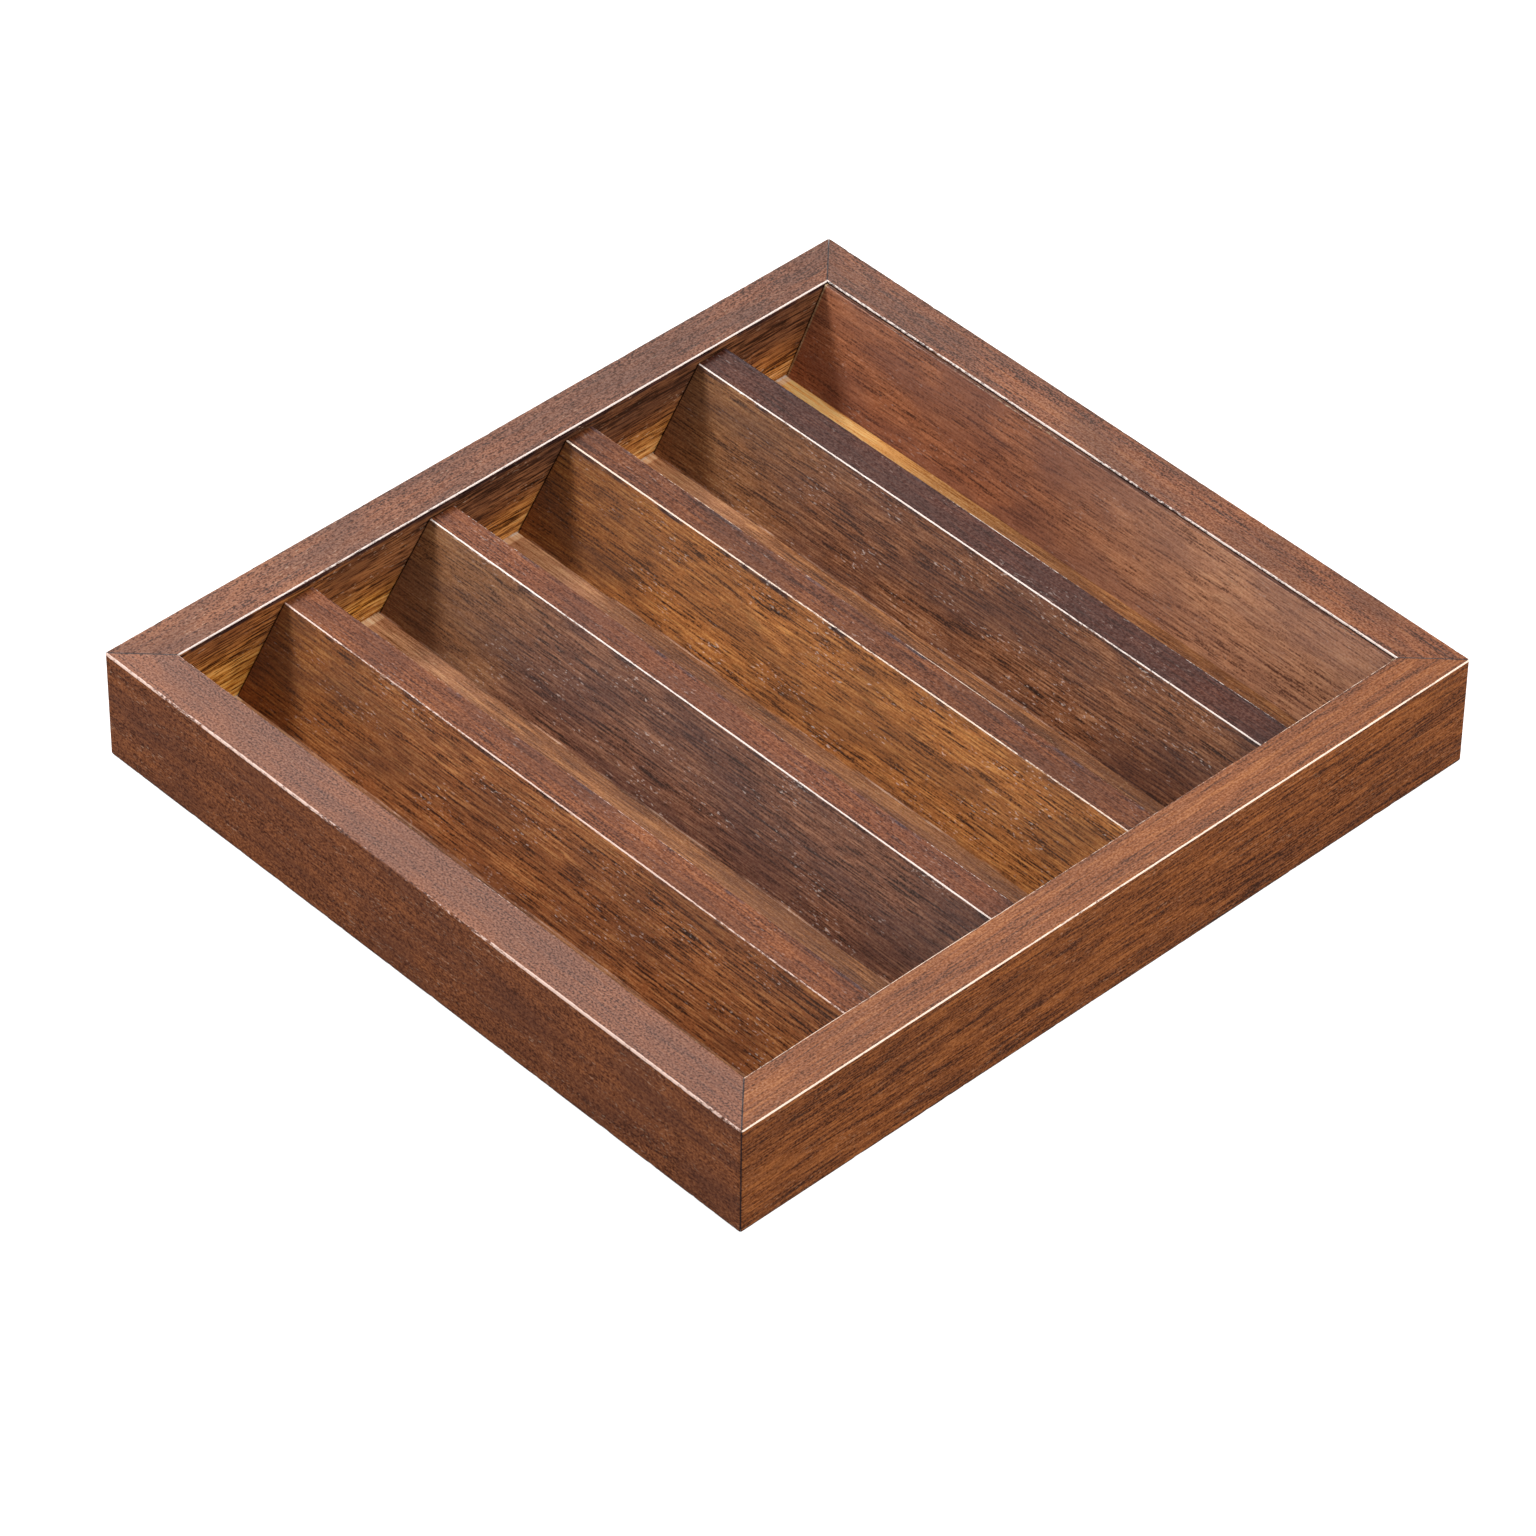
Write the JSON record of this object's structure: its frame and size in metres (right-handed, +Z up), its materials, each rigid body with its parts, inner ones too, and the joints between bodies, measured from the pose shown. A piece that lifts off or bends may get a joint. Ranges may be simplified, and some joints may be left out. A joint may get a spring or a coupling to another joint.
{
  "type": "knife display case",
  "caption": "Open wooden tray with mitred rails and sloping dividers that hold closed folding knives side by side for display.",
  "frame": {"origin": "middle of the underside, on the surface that the case stands on", "axes": "+X runs along the compartments from the left rail to the right rail, +Y runs across them from the front rail to the back rail, +Z up"},
  "size_m": [0.2, 0.2144, 0.029],
  "materials": {
    "front_rail_wood": "stained, thin satin lacquer",
    "right_rail_wood": "stained, thin satin lacquer",
    "back_rail_wood": "stained, thin satin lacquer",
    "left_rail_wood": "stained, thin satin lacquer",
    "divider_wood": "open grain, stained, thin satin lacquer",
    "back_rest_wood": "open grain, stained, thin satin lacquer",
    "panel_wood": "veneered panel, stained, satin",
    "v_nail_steel": "bare spring steel",
    "brad_steel": "bright wire"
  },
  "bodies": {
    "root": {"front_rail": "front_rail_wood", "right_rail": "right_rail_wood", "back_rail": "back_rail_wood", "left_rail": "left_rail_wood", "divider_1": "divider_wood", "divider_2": "divider_wood", "divider_3": "divider_wood", "divider_4": "divider_wood", "back_rest": "back_rest_wood", "base_panel": "panel_wood", "v_nail_front_left": "v_nail_steel", "v_nail_front_right": "v_nail_steel", "v_nail_back_right": "v_nail_steel", "v_nail_back_left": "v_nail_steel", "divider_1_brad_1": "brad_steel", "divider_1_brad_2": "brad_steel", "divider_1_brad_3": "brad_steel", "divider_2_brad_1": "brad_steel", "divider_2_brad_2": "brad_steel", "divider_2_brad_3": "brad_steel", "divider_3_brad_1": "brad_steel", "divider_3_brad_2": "brad_steel", "divider_3_brad_3": "brad_steel", "divider_4_brad_1": "brad_steel", "divider_4_brad_2": "brad_steel", "divider_4_brad_3": "brad_steel", "back_rest_brad_1": "brad_steel", "back_rest_brad_2": "brad_steel", "back_rest_brad_3": "brad_steel"}
  },
  "joints": []
}
